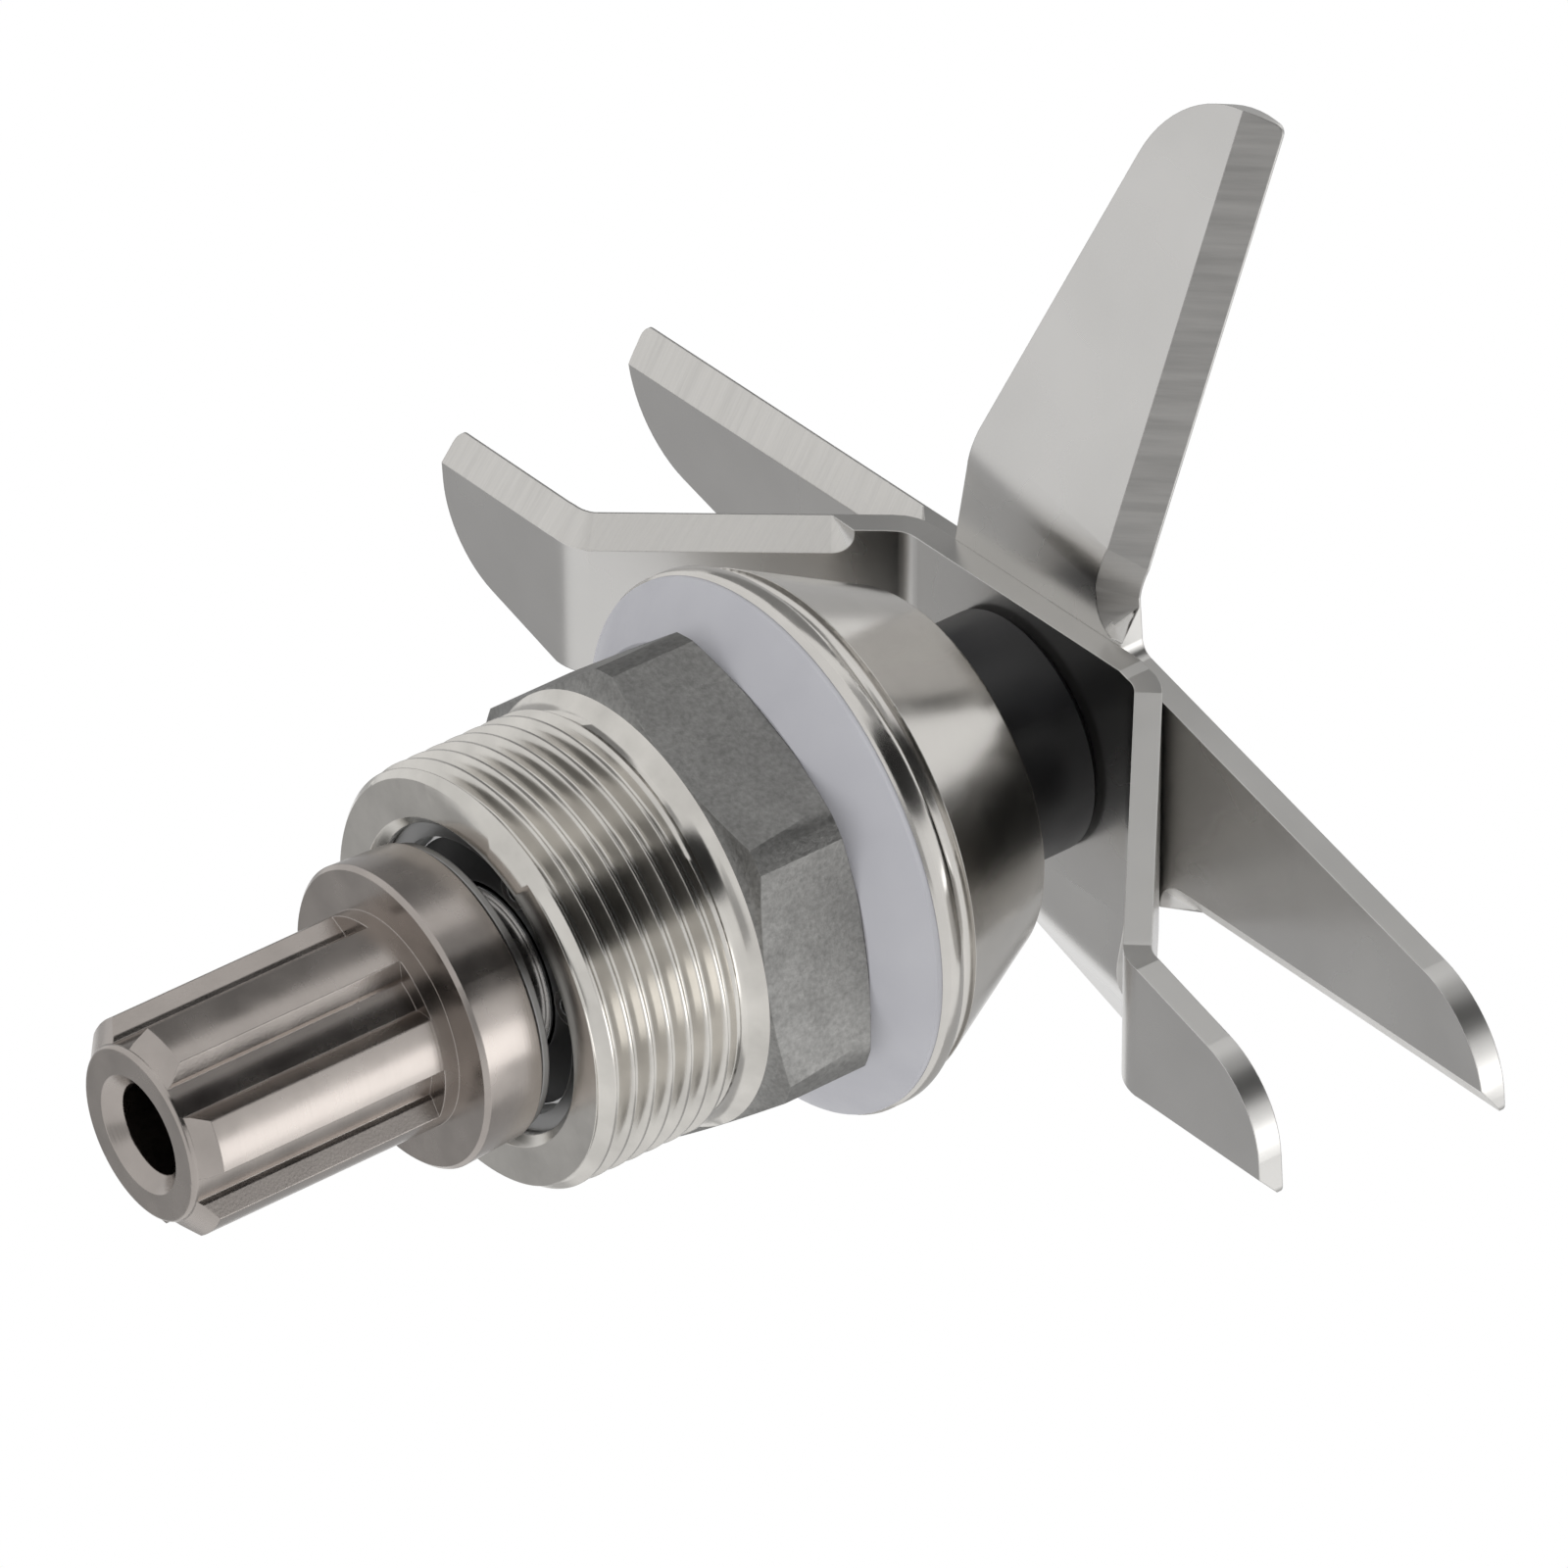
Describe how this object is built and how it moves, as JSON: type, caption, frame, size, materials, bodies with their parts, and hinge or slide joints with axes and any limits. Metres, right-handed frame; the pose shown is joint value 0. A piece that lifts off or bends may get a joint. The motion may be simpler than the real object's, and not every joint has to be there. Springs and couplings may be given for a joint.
{
  "type": "blender blade assembly",
  "caption": "Blender jar blade assembly: splined drive hub and shaft on ball bearings in a threaded hex housing, with a gasket, a rubber collar and stacked ground blade plates.",
  "frame": {"origin": "on the shaft axis, at the flange face that seats on the gasket", "axes": "+Z along the shaft axis towards the blades, drive end down; +X is an arbitrary radial direction, close to one hexagon corner"},
  "size_m": [0.067, 0.0712, 0.0902],
  "materials": {
    "polished_steel": "polished cone and bright thread, grainy cast hexagon",
    "white_gasket": "matt white silicone",
    "turned_steel": "turned and ground",
    "spring_steel": "spring steel",
    "black_rubber": "satin black rubber",
    "drive_steel": "warm satin steel",
    "blade_steel": "satin sheet with ground bevels",
    "bearing_steel": "ground and polished"
  },
  "bodies": {
    "housing": {"bearing_housing": "polished_steel", "gasket": "white_gasket", "outer_spacer": "turned_steel", "retaining_ring": "spring_steel", "shaft_seal": "black_rubber", "seal_spring": "spring_steel", "lower_bearing_outer_ring": "bearing_steel", "lower_bearing_shields": "black_rubber", "upper_bearing_outer_ring": "bearing_steel", "upper_bearing_shields": "black_rubber"},
    "spindle": {"drive_hub": "drive_steel", "drive_washer": "turned_steel", "lower_spacer": "turned_steel", "inner_spacer": "turned_steel", "seal_bush": "turned_steel", "rubber_collar": "black_rubber", "shaft": "turned_steel", "lower_blade": "blade_steel", "upper_blade": "blade_steel", "blade_washer": "turned_steel", "lock_nut": "turned_steel", "lower_bearing_inner_ring": "bearing_steel", "upper_bearing_inner_ring": "bearing_steel"},
    "lower_ball_set": {"lower_bearing_balls": "bearing_steel", "lower_bearing_cage": "spring_steel"},
    "upper_ball_set": {"upper_bearing_balls": "bearing_steel", "upper_bearing_cage": "spring_steel"}
  },
  "joints": [
    {"name": "spindle_spin", "type": "hinge", "parent": "housing", "child": "spindle", "pos_m": [0, 0, 0], "axis": [0, 0, 1], "continuous": true},
    {"name": "lower_ball_set_spin", "type": "hinge", "parent": "housing", "child": "lower_ball_set", "pos_m": [0, 0, -0.0187], "axis": [0, 0, 1], "continuous": true},
    {"name": "upper_ball_set_spin", "type": "hinge", "parent": "housing", "child": "upper_ball_set", "pos_m": [0, 0, 0.0043], "axis": [0, 0, 1], "continuous": true}
  ],
  "couplings": [
    {"joint": "lower_ball_set_spin", "follows": "spindle_spin", "ratio": 0.36765},
    {"joint": "upper_ball_set_spin", "follows": "spindle_spin", "ratio": 0.36765}
  ]
}
